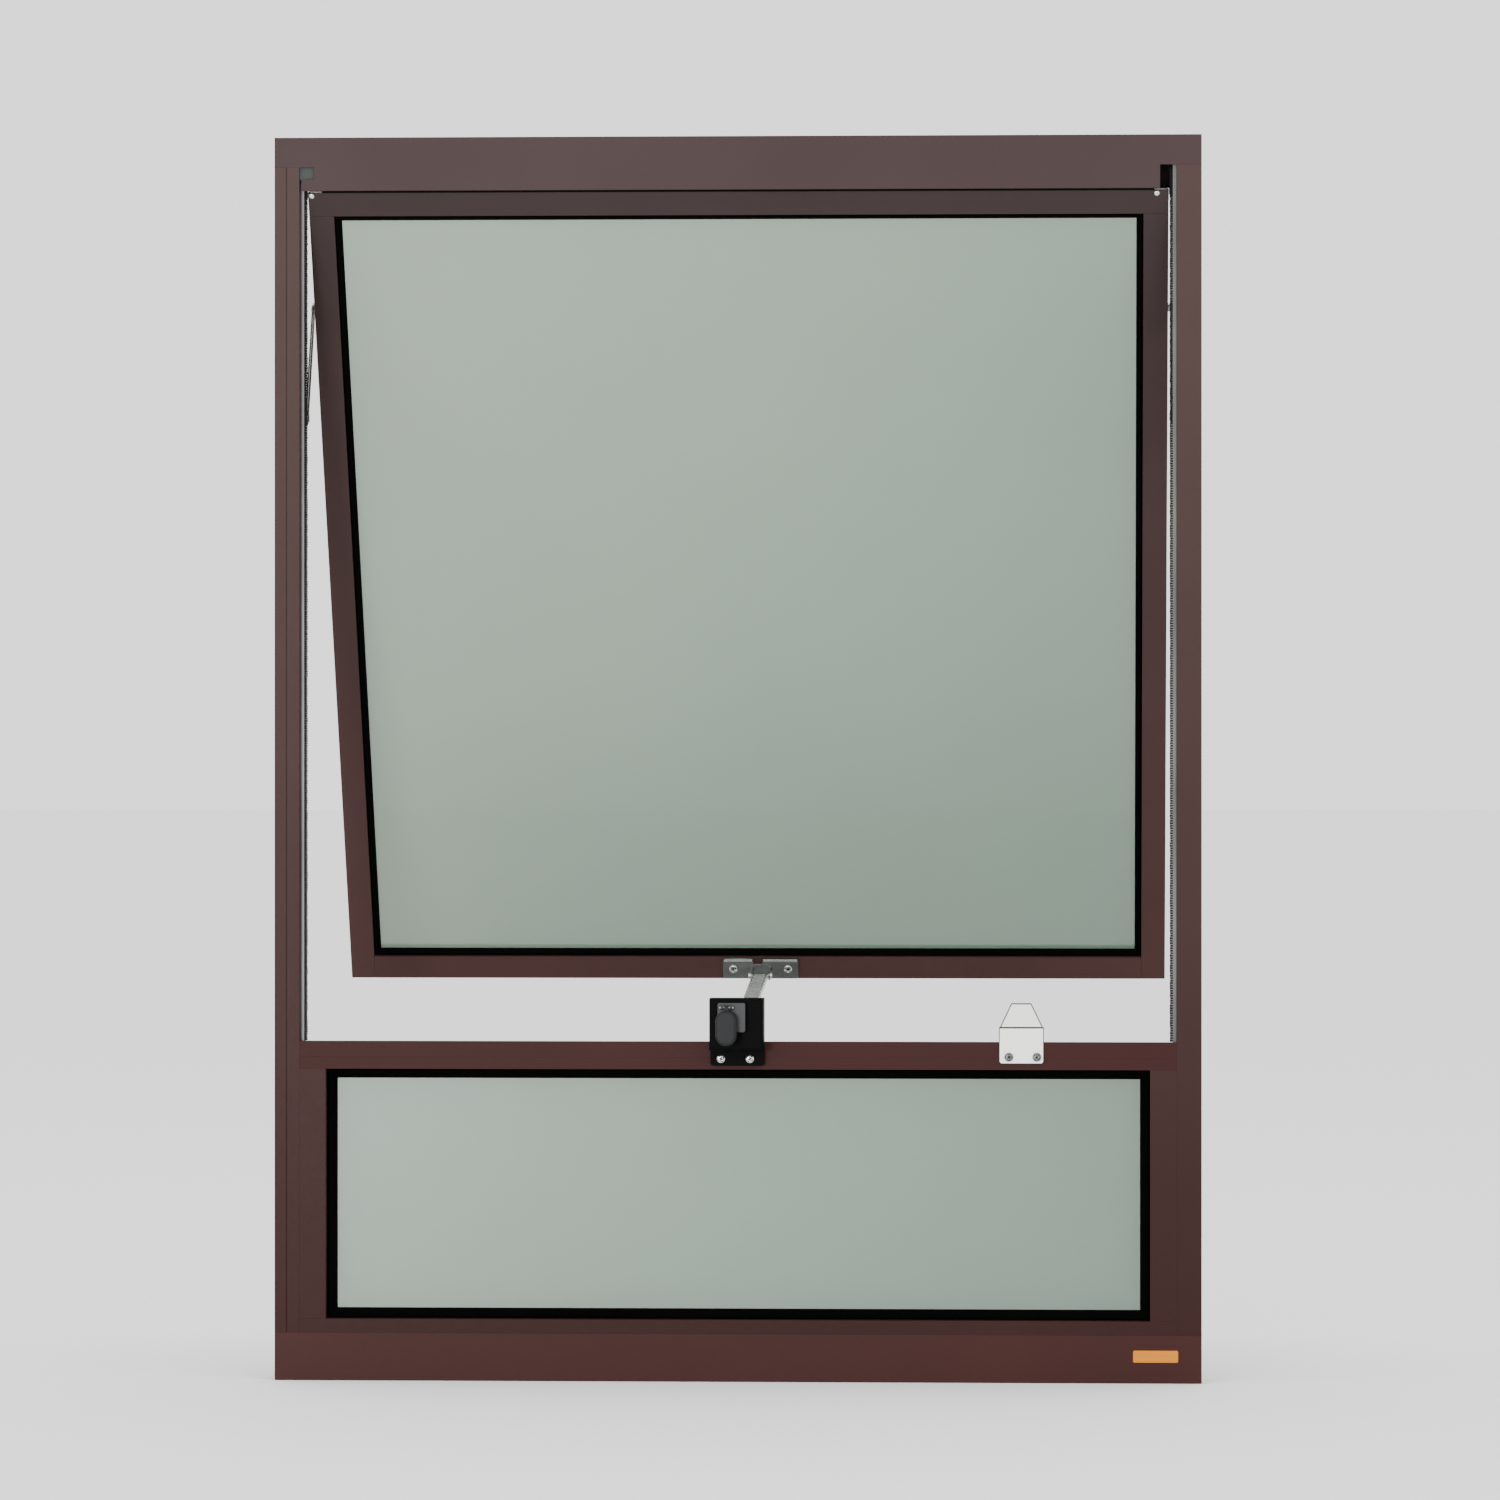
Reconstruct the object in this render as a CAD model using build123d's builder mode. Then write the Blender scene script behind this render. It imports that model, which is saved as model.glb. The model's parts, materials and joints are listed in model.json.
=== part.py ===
from build123d import *
from math import atan2, cos, degrees, radians, sin, sqrt
import os

# Top-hung awning window in dark bronze aluminium with a chain winder.
# +X right, +Y outdoors, +Z up. Origin: middle of the sill's underside, mid-depth of the frame.

# ---- driving dimensions, mm ----
HALF_W = 465.0           # outer frame, half width
HEIGHT = 1248.0          # outer frame, height
DEPTH = 45.0             # frame depth
ROOM = -DEPTH / 2        # room face of the frame
OUT = DEPTH / 2          # outdoor face of the frame
WALL = 2.0               # extrusion wall
JAMB = 25.0              # jamb face width
IN_X = HALF_W - JAMB     # inner wall of the jambs
SILL_H = 48.0            # sill face height
HEAD_LIP = 1218.0        # lower edge of the head's room lip
HEAD_DROP = 1194.5       # lower edge of the lip's drop between the corner fittings
HEAD_ROOF = 1226.0       # ceiling of the head rebate
HEAD_LEG = 1198.0        # lower edge of the head's weather leg
TR_TUBE = (325.0, 335.0)  # transom tube, bottom and top
TR_LIP = 341.0           # top of the transom's room lip
LIP_T = 3.0              # thickness of the room lips
BEAD_X = 413.5           # inner edge of the fixed light's side beads
BEAD_Z = (62.0, 313.0)   # inner edges of the fixed light's lower and upper beads
BEAD_BACK = -7.0         # back of the room beads
STOP_FACE = 5.0          # room face of the outer stops
GLASS_T = 6.0

OPEN_DEG = 25.0          # sash angle at rest
ARM_L = 125.0            # link length, frame pivot to sash pivot
TRACK_Y = -1.0           # line the rollers run on
T_SHUT = 1217.0          # height of the top pivot with the sash shut
P_Z = T_SHUT - 2 * ARM_L  # height of the links' frame pivot
PHI = radians(OPEN_DEG)
T_Z = P_Z + 2 * ARM_L * cos(PHI)
SASH_X = 432.0           # half width of the sash
SASH_Y = 15.0            # half thickness of the sash
SASH_TOP = 6.0           # sash top above the top pivot
SASH_BOT = -879.0        # sash bottom below the top pivot
RAIL = 25.0              # sash rail and stile face
GLAZE = 10.0             # depth of the glazing slot
BRACKET_X = 4.0
BRACKET_Z = -866.0
PIN_B = (-27.0, -870.0)  # chain pin, in the sash's own y and z

PITCH = 10.0             # chain pitch
LINKS = 38
SPROCKET_Z = 363.0
CROWN_R = 8.0            # peg circle of the crown wheel, twelve pegs
PINION_R = 4.0           # peg circle of the pinion, six pegs
CHAIN_X = 4.0            # middle of the push chain
CROWN_X = -7.0           # peg side of the crown wheel's disc
CRANK_X = -13.3          # crank spindle
COVER_Y = -52.0          # front of the winder cover
HINGE = (-63.5, 376.5)   # grip hinge, y and z

# chain pin and sprocket, in the frame, with the sash open
B_Y = TRACK_Y + PIN_B[0] * cos(PHI) - PIN_B[1] * sin(PHI)
B_Z = T_Z + PIN_B[0] * sin(PHI) + PIN_B[1] * cos(PHI)
CHAIN_L = PITCH * LINKS
SPROCKET_Y = B_Y - sqrt(CHAIN_L**2 + PITCH**2 - (B_Z - SPROCKET_Z) ** 2)
PSI = atan2(B_Z - SPROCKET_Z, B_Y - SPROCKET_Y) + atan2(PITCH, CHAIN_L)

SASH = Plane(origin=(0, TRACK_Y, T_Z), x_dir=(1, 0, 0), z_dir=(0, -sin(PHI), cos(PHI)))
ARM = Plane(origin=(0, TRACK_Y, P_Z), x_dir=(1, 0, 0), z_dir=(0, sin(PHI), cos(PHI)))
CHAIN = Plane(origin=(CHAIN_X, B_Y, B_Z), x_dir=(1, 0, 0), z_dir=(0, -sin(PSI), cos(PSI)))

parts = {}


def block(x, y, z, mode=Mode.ADD):
    """Box between two limits on each axis."""
    with Locations((sum(x) / 2, sum(y) / 2, sum(z) / 2)):
        Box(x[1] - x[0], y[1] - y[0], z[1] - z[0], mode=mode)


def rod_x(radius, x, y, z, mode=Mode.ADD):
    """Cylinder along X."""
    with Locations((sum(x) / 2, y, z)):
        Cylinder(radius, abs(x[1] - x[0]), rotation=(0, 90, 0), mode=mode)


def rod_y(radius, x, y, z, mode=Mode.ADD):
    """Cylinder along Y."""
    with Locations((x, sum(y) / 2, z)):
        Cylinder(radius, abs(y[1] - y[0]), rotation=(90, 0, 0), mode=mode)


def span(side, a, b):
    """Pair of X limits mirrored to one side, in rising order."""
    return tuple(sorted((side * a, side * b)))


def frame_ring(outer, inner, z_out, z_in, y):
    """Flat rectangular ring."""
    block((-outer, outer), y, z_out)
    block((-inner, inner), (y[0] - 1, y[1] + 1), z_in, Mode.SUBTRACT)


def pan_screw(x, y_face, z, radius, length):
    """Pan-head screw, its head towards the room, with a cross recess."""
    rod_y(radius, x, (y_face - 2.2, y_face), z)
    rod_y(1.6, x, (y_face, y_face + length), z)
    block((x - 2.4, x + 2.4), (y_face - 2.3, y_face - 1.2), (z - 0.5, z + 0.5), Mode.SUBTRACT)
    block((x - 0.5, x + 0.5), (y_face - 2.3, y_face - 1.2), (z - 2.4, z + 2.4), Mode.SUBTRACT)


# ---- outer frame ----
with BuildPart() as head:
    block((-HALF_W, HALF_W), (ROOM, OUT), (HEAD_ROOF, HEIGHT))
    block((-HALF_W, HALF_W), (ROOM, ROOM + LIP_T), (HEAD_LIP, HEAD_ROOF))
    block((-425.5, 423.5), (ROOM, ROOM + LIP_T), (HEAD_DROP, HEAD_LIP))
    block((-437.8, -425.5), (ROOM, ROOM + LIP_T), (HEAD_DROP, 1206))
    block((-IN_X, IN_X), (OUT - 3.5, OUT), (HEAD_LEG, HEAD_ROOF))
    block(
        (-HALF_W + WALL, HALF_W - WALL),
        (ROOM + WALL, OUT - WALL),
        (HEAD_ROOF + WALL, HEIGHT - WALL),
        Mode.SUBTRACT,
    )
parts["head"] = head

with BuildPart() as sill:
    block((-HALF_W, HALF_W), (ROOM, OUT), (0, SILL_H))
    block((-IN_X, IN_X), (STOP_FACE, OUT), (SILL_H, BEAD_Z[0]))
    block((-HALF_W + WALL, HALF_W - WALL), (ROOM + WALL, OUT - WALL), (WALL, SILL_H - WALL), Mode.SUBTRACT)
    block((-IN_X - 1, IN_X + 1), (STOP_FACE + WALL, OUT - WALL), (SILL_H, BEAD_Z[0] - WALL), Mode.SUBTRACT)
    for x in (-260, 260):
        block((x - 14, x + 14), (OUT - 3, OUT + 1), (14, 19), Mode.SUBTRACT)
parts["sill"] = sill

for side, name in ((-1, "left"), (1, "right")):
    with BuildPart() as jamb:
        block(span(side, IN_X, HALF_W), (ROOM, OUT), (SILL_H, HEAD_ROOF))
        block(
            span(side, IN_X + WALL, HALF_W - WALL),
            (ROOM + WALL, OUT - WALL),
            (SILL_H - 1, HEAD_ROOF + 1),
            Mode.SUBTRACT,
        )
        block(
            span(side, IN_X - 1, HALF_W + 1),
            (ROOM - 1, ROOM + LIP_T),
            (HEAD_LIP, HEAD_ROOF + 1),
            Mode.SUBTRACT,
        )
        for z in (400, 1150):
            rod_x(2.75, span(side, IN_X - 1, HALF_W + 1), 15, z, Mode.SUBTRACT)
        if side < 0:
            block((-453.4, -452.4), (ROOM - 1, ROOM + 0.9), (SILL_H - 1, HEAD_LIP), Mode.SUBTRACT)
    parts[f"jamb_{name}"] = jamb

with BuildPart() as transom:
    block((-IN_X, IN_X), (ROOM, OUT), TR_TUBE)
    block((-IN_X, IN_X), (ROOM, ROOM + LIP_T), (TR_TUBE[1], TR_LIP))
    block((-IN_X, IN_X), (STOP_FACE, OUT), (BEAD_Z[1], TR_TUBE[0]))
    block(
        (-IN_X - 1, IN_X + 1),
        (ROOM + WALL, OUT - WALL),
        (TR_TUBE[0] + 1.6, TR_TUBE[1] - 1.6),
        Mode.SUBTRACT,
    )
parts["transom"] = transom

# ---- roller tracks, pile seals and links' fixed pivots ----
for side, name in ((-1, "left"), (1, "right")):
    with BuildPart() as track:
        block(span(side, 438.6, IN_X), (-13.3, 7.3), (TR_TUBE[1], HEAD_ROOF))
        block(span(side, 436.2, IN_X), (-13.3, -7.3), (TR_TUBE[1], HEAD_ROOF))
        block(span(side, 437.1, IN_X), (5.3, 7.3), (TR_TUBE[1], HEAD_ROOF))
        block(span(side, 436.1, 437.9), (-11.8, -8.8), (TR_TUBE[1] - 1, HEAD_ROOF + 1), Mode.SUBTRACT)
        rod_x(2.5, span(side, 438, IN_X + 1), TRACK_Y, P_Z, Mode.SUBTRACT)
        for z in (420, 700, 1130):
            rod_x(1.65, span(side, 438, IN_X + 1), TRACK_Y, z, Mode.SUBTRACT)
    parts[f"track_{name}"] = track

    with BuildPart() as pile:
        block(span(side, 436.2, 437.8), (-11.7, -8.9), (TR_LIP, HEAD_LIP - 2))
        block(span(side, 433.0, 436.2), (-11.2, -9.4), (TR_LIP, HEAD_LIP - 2))
    parts[f"pile_seal_{name}"] = pile

    with BuildPart() as track_screws:
        for z in (420, 700, 1130):
            rod_x(1.6, span(side, 438.6, 439.9), TRACK_Y, z)
            rod_x(3.2, span(side, 437.4, 438.6), TRACK_Y, z)
            block(span(side, 437.3, 438.0), (TRACK_Y - 2, TRACK_Y + 2), (z - 0.4, z + 0.4), Mode.SUBTRACT)
    parts[f"track_screws_{name}"] = track_screws

    with BuildPart() as frame_pin:
        rod_x(2.45, span(side, 433.8, 440.0), TRACK_Y, P_Z)
        rod_x(4.2, span(side, 436.2, 438.6), TRACK_Y, P_Z)
        rod_x(4.2, span(side, 432.8, 433.8), TRACK_Y, P_Z)
    parts[f"link_pivot_{name}"] = frame_pin

with BuildPart() as bumper:
    block((-IN_X, -426), (ROOM + LIP_T, ROOM + LIP_T + 2.1), (1205, HEAD_LIP + 3))
    fillet(bumper.edges().filter_by(Axis.Y).group_by(Axis.Z)[0], 1.5)
parts["corner_bumper"] = bumper

with BuildPart() as transom_seal:
    block((-430, 430), (ROOM + LIP_T, ROOM + LIP_T + 2.2), (336.5, 338.8))
    block((-430, 430), (ROOM + LIP_T, ROOM + LIP_T + 1.2), (335.0, 336.5))
parts["transom_seal"] = transom_seal

# ---- fixed light ----
for z, name in (((SILL_H, BEAD_Z[0]), "bottom"), ((BEAD_Z[1], TR_TUBE[0]), "top")):
    with BuildPart() as bead:
        block((-IN_X, IN_X), (ROOM, BEAD_BACK), z)
        block((-IN_X - 1, IN_X + 1), (ROOM + 1.8, BEAD_BACK - 1.8), (z[0] + 1.8, z[1] - 1.8), Mode.SUBTRACT)
    parts[f"fixed_bead_{name}"] = bead

for side, name in ((-1, "left"), (1, "right")):
    with BuildPart() as bead:
        block(span(side, BEAD_X, IN_X), (ROOM, BEAD_BACK), BEAD_Z)
        block(
            span(side, BEAD_X + 1.8, IN_X - 1.8),
            (ROOM + 1.8, BEAD_BACK - 1.8),
            (BEAD_Z[0] - 1, BEAD_Z[1] + 1),
            Mode.SUBTRACT,
        )
    parts[f"fixed_bead_{name}"] = bead

    with BuildPart() as stop:
        block(span(side, BEAD_X, IN_X), (STOP_FACE, OUT), BEAD_Z)
        block(
            span(side, BEAD_X + 1.8, IN_X - 1.8),
            (STOP_FACE + 1.8, OUT - 1.8),
            (BEAD_Z[0] - 1, BEAD_Z[1] + 1),
            Mode.SUBTRACT,
        )
    parts[f"fixed_stop_{name}"] = stop

with BuildPart() as fixed_gasket:
    frame_ring(418.0, 403.5, (57.5, 317.5), (72.0, 303.0), (BEAD_BACK, -3.0))
    block((-418, 418), (3.0, STOP_FACE), (57.5, 317.5))
    block((-407, 407), (3.0, STOP_FACE), (68.5, 306.5), Mode.SUBTRACT)
parts["fixed_gaskets"] = fixed_gasket

with BuildPart() as fixed_glass:
    block((-428, 428), (-GLASS_T / 2, GLASS_T / 2), (54, 321))
parts["fixed_glass"] = fixed_glass

with BuildPart() as setting_blocks:
    for x in (-220, 220):
        block((x - 40, x + 40), (-3, 3), (SILL_H, 54))
parts["setting_blocks"] = setting_blocks

with BuildPart() as weep_caps:
    for x in (-260, 260):
        block((x - 18, x + 18), (OUT, OUT + 2), (11, 22))
        block((x - 13, x + 13), (OUT - 1.5, OUT), (14.5, 18.5))
        block((x - 11, x + 11), (OUT + 0.8, OUT + 3), (10, 13), Mode.SUBTRACT)
parts["weep_caps"] = weep_caps

# ---- sash ----
SLOT_Y = (-10.0, 2.0)
for side, name in ((-1, "left"), (1, "right")):
    with BuildPart(SASH) as stile:
        block(span(side, SASH_X - RAIL, SASH_X), (-SASH_Y, SASH_Y), (SASH_BOT, SASH_TOP - RAIL))
        block(
            span(side, SASH_X - RAIL, SASH_X - RAIL + GLAZE),
            SLOT_Y,
            (SASH_BOT + RAIL - GLAZE, SASH_TOP),
            Mode.SUBTRACT,
        )
        block(
            span(side, SASH_X - 13, SASH_X - WALL),
            (-SASH_Y + WALL, SASH_Y - WALL),
            (SASH_BOT + WALL, SASH_TOP),
            Mode.SUBTRACT,
        )
    parts[f"sash_stile_{name}"] = stile

GX = SASH_X - RAIL
GZ = (SASH_BOT + RAIL, SASH_TOP - RAIL)
RAIL_X = (-SASH_X + RAIL, SASH_X - RAIL)
CUT_X = (RAIL_X[0] - 1, RAIL_X[1] + 1)
with BuildPart(SASH) as rail_top:
    block((-SASH_X, SASH_X), (-SASH_Y, SASH_Y), (SASH_TOP - RAIL, 0))
    block((-SASH_X, SASH_X), (-SASH_Y, -1), (0, SASH_TOP))
    block((-GX - GLAZE, GX + GLAZE), SLOT_Y, (SASH_TOP - RAIL - 1, SASH_TOP - RAIL + GLAZE), Mode.SUBTRACT)
    block(CUT_X, (-SASH_Y + WALL, -3), (-7, SASH_TOP - WALL), Mode.SUBTRACT)
    block(CUT_X, (4, SASH_Y - WALL), (SASH_TOP - RAIL + WALL, -WALL), Mode.SUBTRACT)
parts["sash_rail_top"] = rail_top

with BuildPart(SASH) as rail_bottom:
    block(RAIL_X, (-SASH_Y, SASH_Y), (SASH_BOT, SASH_BOT + RAIL))
    block(CUT_X, SLOT_Y, (SASH_BOT + RAIL - GLAZE, SASH_BOT + RAIL + 1), Mode.SUBTRACT)
    block(CUT_X, (-SASH_Y + WALL, SASH_Y - WALL), (SASH_BOT + WALL, SASH_BOT + 13), Mode.SUBTRACT)
parts["sash_rail_bottom"] = rail_bottom

with BuildPart(SASH) as sash_glass:
    block((-GX - 8, GX + 8), (-7, -1), (GZ[0] - 8, GZ[1] + 8))
parts["sash_glass"] = sash_glass

with BuildPart(SASH) as sash_gasket:
    frame_ring(GX + 8, GX - 7, (GZ[0] - 8, GZ[1] + 8), (GZ[0] + 7, GZ[1] - 7), (-10, -7))
    block((-GX - 8, GX + 8), (-1, 2), (GZ[0] - 8, GZ[1] + 8))
    block((-GX + 5, GX - 5), (-1, 2), (GZ[0] + 5, GZ[1] - 5), Mode.SUBTRACT)
parts["sash_gaskets"] = sash_gasket

for side, name in ((-1, "left"), (1, "right")):
    # angle plate over the sash's top corner that carries the roller's pin
    with BuildPart(SASH) as top_pivot:
        block(span(side, 418, 430), (-13, -3), (SASH_TOP, SASH_TOP + 0.8))
        rod_x(4.2, span(side, SASH_X, 434.2), 0, 0)
        rod_x(2.5, span(side, 434.2, 438.2), 0, 0)
        block(span(side, SASH_X, 432.6), (-11, 3.5), (-6, SASH_TOP + 0.8))
        block(span(side, 418, 432.6), (-11, -3), (SASH_TOP, SASH_TOP + 0.8))
    parts[f"top_pivot_{name}"] = top_pivot

    with BuildPart(SASH) as link_stud:
        rod_x(4.2, span(side, SASH_X, 433.9), 0, -ARM_L)
        rod_x(2.5, span(side, 433.9, 436.1), 0, -ARM_L)
        rod_x(3.8, span(side, 436.1, 436.9), 0, -ARM_L)
    parts[f"link_stud_{name}"] = link_stud

    # roller that runs up and down its track
    with BuildPart(Plane(origin=(0, TRACK_Y, T_Z), x_dir=(1, 0, 0), z_dir=(0, 0, 1))) as roller:
        rod_x(6, span(side, 434.5, 438.4), 0, 0)
        rod_x(4.2, span(side, 434.3, 434.5), 0, 0)
        rod_x(2.55, span(side, 434, 439), 0, 0, Mode.SUBTRACT)
    parts[f"roller_{name}"] = roller

    with BuildPart(ARM) as link:
        block(span(side, 434, 436), (-7, 7), (0, ARM_L))
        rod_x(7, span(side, 434, 436), 0, 0)
        rod_x(7, span(side, 434, 436), 0, ARM_L)
        rod_x(2.5, span(side, 433, 437), 0, 0, Mode.SUBTRACT)
        rod_x(2.55 if side > 0 else 2.6, span(side, 433, 437), 0, ARM_L, Mode.SUBTRACT)
    parts[f"link_{name}"] = link

with BuildPart(SASH) as bracket:
    block((BRACKET_X - 40, BRACKET_X + 40), (-SASH_Y - 3, -SASH_Y), (BRACKET_Z - 11.5, BRACKET_Z + 11.5))
    fillet(bracket.edges().filter_by(Axis((0, 0, 0), SASH.y_dir)), 2.5)
    block((-4, 6), (-SASH_Y - 4, -SASH_Y + 1), (BRACKET_Z + 5, BRACKET_Z + 12), Mode.SUBTRACT)
    for side in (-1, 1):
        x = sorted((CHAIN_X + side * 8.6, CHAIN_X + side * 10.4))
        block(x, (PIN_B[0], -SASH_Y - 3), (PIN_B[1] - 4.5, PIN_B[1] + 6.5))
        rod_x(4.5, x, *PIN_B)
        rod_x(2.0, (x[0] - 1, x[1] + 1), *PIN_B, Mode.SUBTRACT)
        rod_y(1.65, BRACKET_X + side * 29, (-SASH_Y - 4, -SASH_Y + 1), BRACKET_Z, Mode.SUBTRACT)
parts["sash_bracket"] = bracket

with BuildPart(SASH) as bracket_pin:
    rod_x(1.98, (CHAIN_X - 10.6, CHAIN_X + 10.6), *PIN_B)
    rod_x(3.6, (CHAIN_X + 10.4, CHAIN_X + 12.6), *PIN_B)
    rod_x(3.6, (CHAIN_X - 12.6, CHAIN_X - 10.4), *PIN_B)
parts["bracket_pin"] = bracket_pin

with BuildPart(SASH) as bracket_screws:
    for side in (-1, 1):
        pan_screw(BRACKET_X + side * 29, -SASH_Y - 3, BRACKET_Z, 4.4, 2.9)
parts["bracket_screws"] = bracket_screws

# ---- push chain, from the bracket's pin to the sprocket ----
OUTER_X = ((-8.0, -7.0), (7.0, 8.0))
INNER_X = ((-6.9, -5.9), (5.9, 6.9))
with BuildPart(CHAIN) as chain_outer:
    for x in OUTER_X:
        for k in range(0, LINKS, 2):
            block(x, (-PITCH * (k + 1), -PITCH * k), (-2.9, 2.9))
            rod_x(3.5, x, -PITCH * k, 0)
            rod_x(3.5, x, -PITCH * (k + 1), 0)
            rod_x(2.05 if k == 0 else 1.25, (x[0] - 1, x[1] + 1), -PITCH * k, 0, Mode.SUBTRACT)
            rod_x(1.25, (x[0] - 1, x[1] + 1), -PITCH * (k + 1), 0, Mode.SUBTRACT)
parts["chain_outer_links"] = chain_outer

with BuildPart(CHAIN) as chain_inner:
    for x in INNER_X:
        for k in range(1, LINKS, 2):
            block(x, (-PITCH * (k + 1), -PITCH * k), (-2.9, 2.9))
            rod_x(3.5, x, -PITCH * k, 0)
            rod_x(3.5, x, -PITCH * (k + 1), 0)
            rod_x(1.25, (x[0] - 1, x[1] + 1), -PITCH * k, 0, Mode.SUBTRACT)
            rod_x(1.25, (x[0] - 1, x[1] + 1), -PITCH * (k + 1), 0, Mode.SUBTRACT)
parts["chain_inner_links"] = chain_inner

with BuildPart(CHAIN) as chain_pins:
    for k in range(1, LINKS + 1):
        rod_x(1.2, (-8.6, 8.6), -PITCH * k, 0)
        rod_x(2.5, (-5.8, 5.8), -PITCH * k, 0)
parts["chain_pins"] = chain_pins

# ---- winder ----
HOUSING_X = (-26.0, 28.0)
with BuildPart() as winder_base:
    block(HOUSING_X, (ROOM - 2, ROOM), (317, 385))
    block(HOUSING_X, (ROOM - 6, ROOM), (317, 333))
    fillet(winder_base.edges().filter_by(Axis.Y).group_by(Axis.Z)[0], 3)
    block((-12, 17.5), (ROOM - 3, ROOM + 1), (342, 374), Mode.SUBTRACT)
    for x in ((-22.5, -18.5), (18.5, 22.5)):
        block(x, (SPROCKET_Y - 4.5, ROOM - 2), (SPROCKET_Z - 5, SPROCKET_Z + 5))
        rod_x(2.55, (x[0] - 1, x[1] + 1), SPROCKET_Y, SPROCKET_Z, Mode.SUBTRACT)
    for x in (-15.5, 13.5):
        rod_y(1.65, x, (ROOM - 7, ROOM + 1), 324, Mode.SUBTRACT)
parts["winder_base"] = winder_base

with BuildPart() as winder_cover:
    block(HOUSING_X, (COVER_Y, ROOM - 2), (333, 385))
    fillet(winder_cover.edges().group_by(Axis.Y)[0], 3)
    block(
        (HOUSING_X[0] + WALL, HOUSING_X[1] - WALL),
        (COVER_Y + WALL, ROOM + 1),
        (333 + WALL, 385 - WALL),
        Mode.SUBTRACT,
    )
    rod_y(5, CRANK_X, (COVER_Y - 1, COVER_Y + WALL + 1), SPROCKET_Z, Mode.SUBTRACT)
parts["winder_cover"] = winder_cover

with BuildPart() as winder_screws:
    for x in (-15.5, 13.5):
        pan_screw(x, ROOM - 6, 324, 4.4, 5.9)
parts["winder_screws"] = winder_screws

with BuildPart() as spindle_bush:
    rod_y(4.95, CRANK_X, (COVER_Y, COVER_Y + WALL), SPROCKET_Z)
    rod_y(6.5, CRANK_X, (COVER_Y - 1.6, COVER_Y), SPROCKET_Z)
    rod_y(3.05, CRANK_X, (COVER_Y - 3, COVER_Y + WALL + 1), SPROCKET_Z, Mode.SUBTRACT)
parts["spindle_bush"] = spindle_bush

SPR = Plane(
    origin=(CHAIN_X, SPROCKET_Y, SPROCKET_Z), x_dir=(1, 0, 0), z_dir=(0, -sin(PSI), cos(PSI))
)
with BuildPart(SPR) as sprocket:
    rod_x(7.2, (-2.2, 2.2), 0, 0)
    for k in range(6):
        a = radians(60 * k)
        with Locations(Location((0, 9.0 * cos(a), 9.0 * sin(a)), (degrees(a), 0, 0))):
            Box(4.4, 4.0, 2.2)
    rod_x(2.5, (-3, 3), 0, 0, Mode.SUBTRACT)
parts["sprocket"] = sprocket

with BuildPart() as crown_wheel:
    rod_x(9.2, (CROWN_X, CROWN_X + 1.2), SPROCKET_Y, SPROCKET_Z)
    for k in range(12):
        a = radians(30 * k)
        rod_x(0.7, (CROWN_X - 4.3, CROWN_X), SPROCKET_Y + CROWN_R * cos(a), SPROCKET_Z + CROWN_R * sin(a))
    rod_x(2.5, (CROWN_X - 1, CROWN_X + 2), SPROCKET_Y, SPROCKET_Z, Mode.SUBTRACT)
parts["crown_wheel"] = crown_wheel

with BuildPart() as drive_shaft:
    rod_x(2.49, (-24.0 + 0.8, 26.0 - 0.8), SPROCKET_Y, SPROCKET_Z)
parts["drive_shaft"] = drive_shaft

with BuildPart() as spindle:
    rod_y(3.0, CRANK_X, (-60, -49.6), SPROCKET_Z)
    rod_y(4.6, CRANK_X, (-56, -54), SPROCKET_Z)
    rod_y(5.3, CRANK_X, (-49.6, -48.1), SPROCKET_Z)
    for k in range(6):
        a = radians(60 * k + 30)
        rod_y(0.7, CRANK_X + PINION_R * cos(a), (-48.1, -42.0), SPROCKET_Z + PINION_R * sin(a))
parts["crank_spindle"] = spindle

with BuildPart() as crank_arm:
    block((-17.0, 10.5), (-60, -56), (352, 381))
    fillet(crank_arm.edges().filter_by(Axis.Y), 2)
    rod_y(3.02, CRANK_X, (-61, -55), SPROCKET_Z, Mode.SUBTRACT)
    for x in ((-14.0, -10.6), (-5.0, -1.6)):
        block(x, (HINGE[0], -60), (HINGE[1] - 2.3, HINGE[1] + 2.3))
        rod_x(2.3, x, *HINGE)
        rod_x(1.42, (x[0] - 1, x[1] + 1), *HINGE, Mode.SUBTRACT)
parts["crank_arm"] = crank_arm

with BuildPart() as grip_pin:
    rod_x(1.4, (-14.6, -1.0), *HINGE)
parts["grip_pin"] = grip_pin

with BuildPart() as grip:
    with BuildSketch(Plane.XZ.offset(67)) as pill:
        with Locations((-8.0, 356.0)):
            RectangleRounded(21, 35, 10.2)
    extrude(amount=-4.6, both=True)
    fillet(grip.edges().group_by(Axis.Y)[0], 3.0)
    fillet(grip.edges().group_by(Axis.Y)[-1], 1.5)
    block((-10.2, -5.4), (HINGE[0] - 2.4, HINGE[0] + 2.0), (368, HINGE[1]))
    rod_x(2.3, (-10.2, -5.4), *HINGE)
    rod_x(1.47, (-11, -5), *HINGE, Mode.SUBTRACT)
parts["grip"] = grip

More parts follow.
